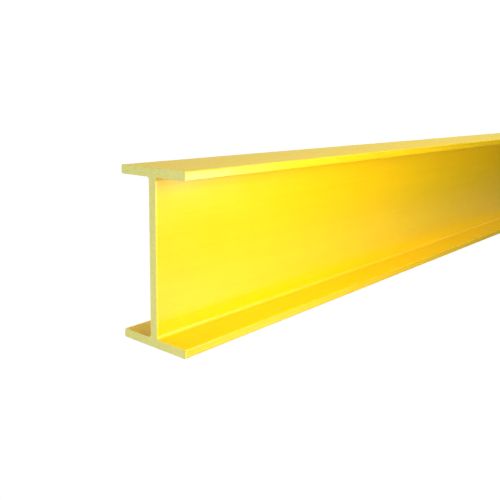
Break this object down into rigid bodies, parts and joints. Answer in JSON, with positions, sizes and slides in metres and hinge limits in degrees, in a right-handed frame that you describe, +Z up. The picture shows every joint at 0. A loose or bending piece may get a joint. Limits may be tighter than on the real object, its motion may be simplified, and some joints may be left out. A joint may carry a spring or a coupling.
{
  "type": "fibreglass i-beam",
  "caption": "Straight pultruded fibreglass I-beam: flat parallel flanges joined by a central web with filleted corners, sawn square at both ends, for framing and platforms.",
  "frame": {"origin": "middle of the underside of the bottom flange, at mid-length", "axes": "+X along the beam, +Y across the flanges, +Z up from the bottom flange to the top flange"},
  "size_m": [1.524, 0.127, 0.254],
  "materials": {
    "fibreglass": "satin yellow pultruded fibreglass, pigmented through, with paler matt sawn ends"
  },
  "bodies": {
    "root": {"i_beam": "fibreglass"}
  },
  "joints": []
}
